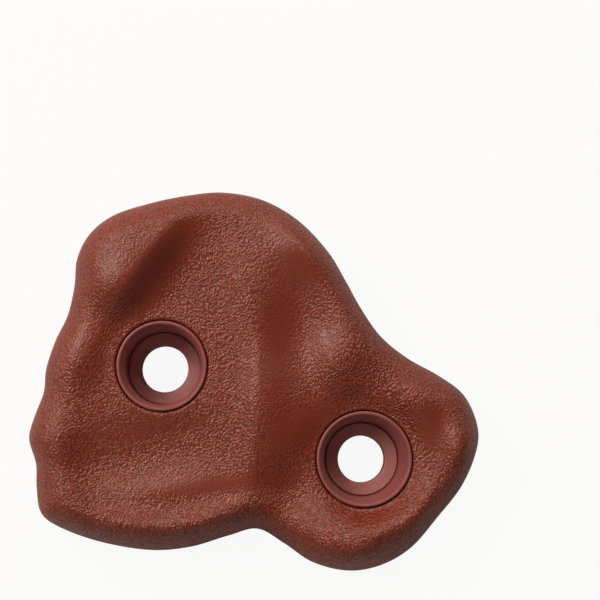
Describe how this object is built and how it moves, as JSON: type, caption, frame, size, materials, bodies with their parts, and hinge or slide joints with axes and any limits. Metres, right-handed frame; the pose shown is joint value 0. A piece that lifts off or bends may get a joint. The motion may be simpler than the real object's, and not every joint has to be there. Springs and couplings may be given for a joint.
{
  "type": "climbing hold",
  "caption": "Lobed climbing hold with a grained, ridged skin over a ribbed hollow back, and lined counterbored bolt holes with seat washers.",
  "frame": {"origin": "on the wall plane, under the middle of the bounding box", "axes": "+Z out of the wall, +X along the longer side towards the narrow lobe, +Y up the hold as pictured"},
  "size_m": [0.1149, 0.097, 0.0267],
  "materials": {
    "grip": "moulded, finely pebbled grain with a soft sheen",
    "cup": "smooth satin",
    "washer": "satin"
  },
  "bodies": {
    "root": {"grip_shell": "grip", "bolt_seat_cup_left": "cup", "bolt_seat_cup_right": "cup", "seat_washer_left": "washer", "seat_washer_right": "washer"}
  },
  "joints": []
}
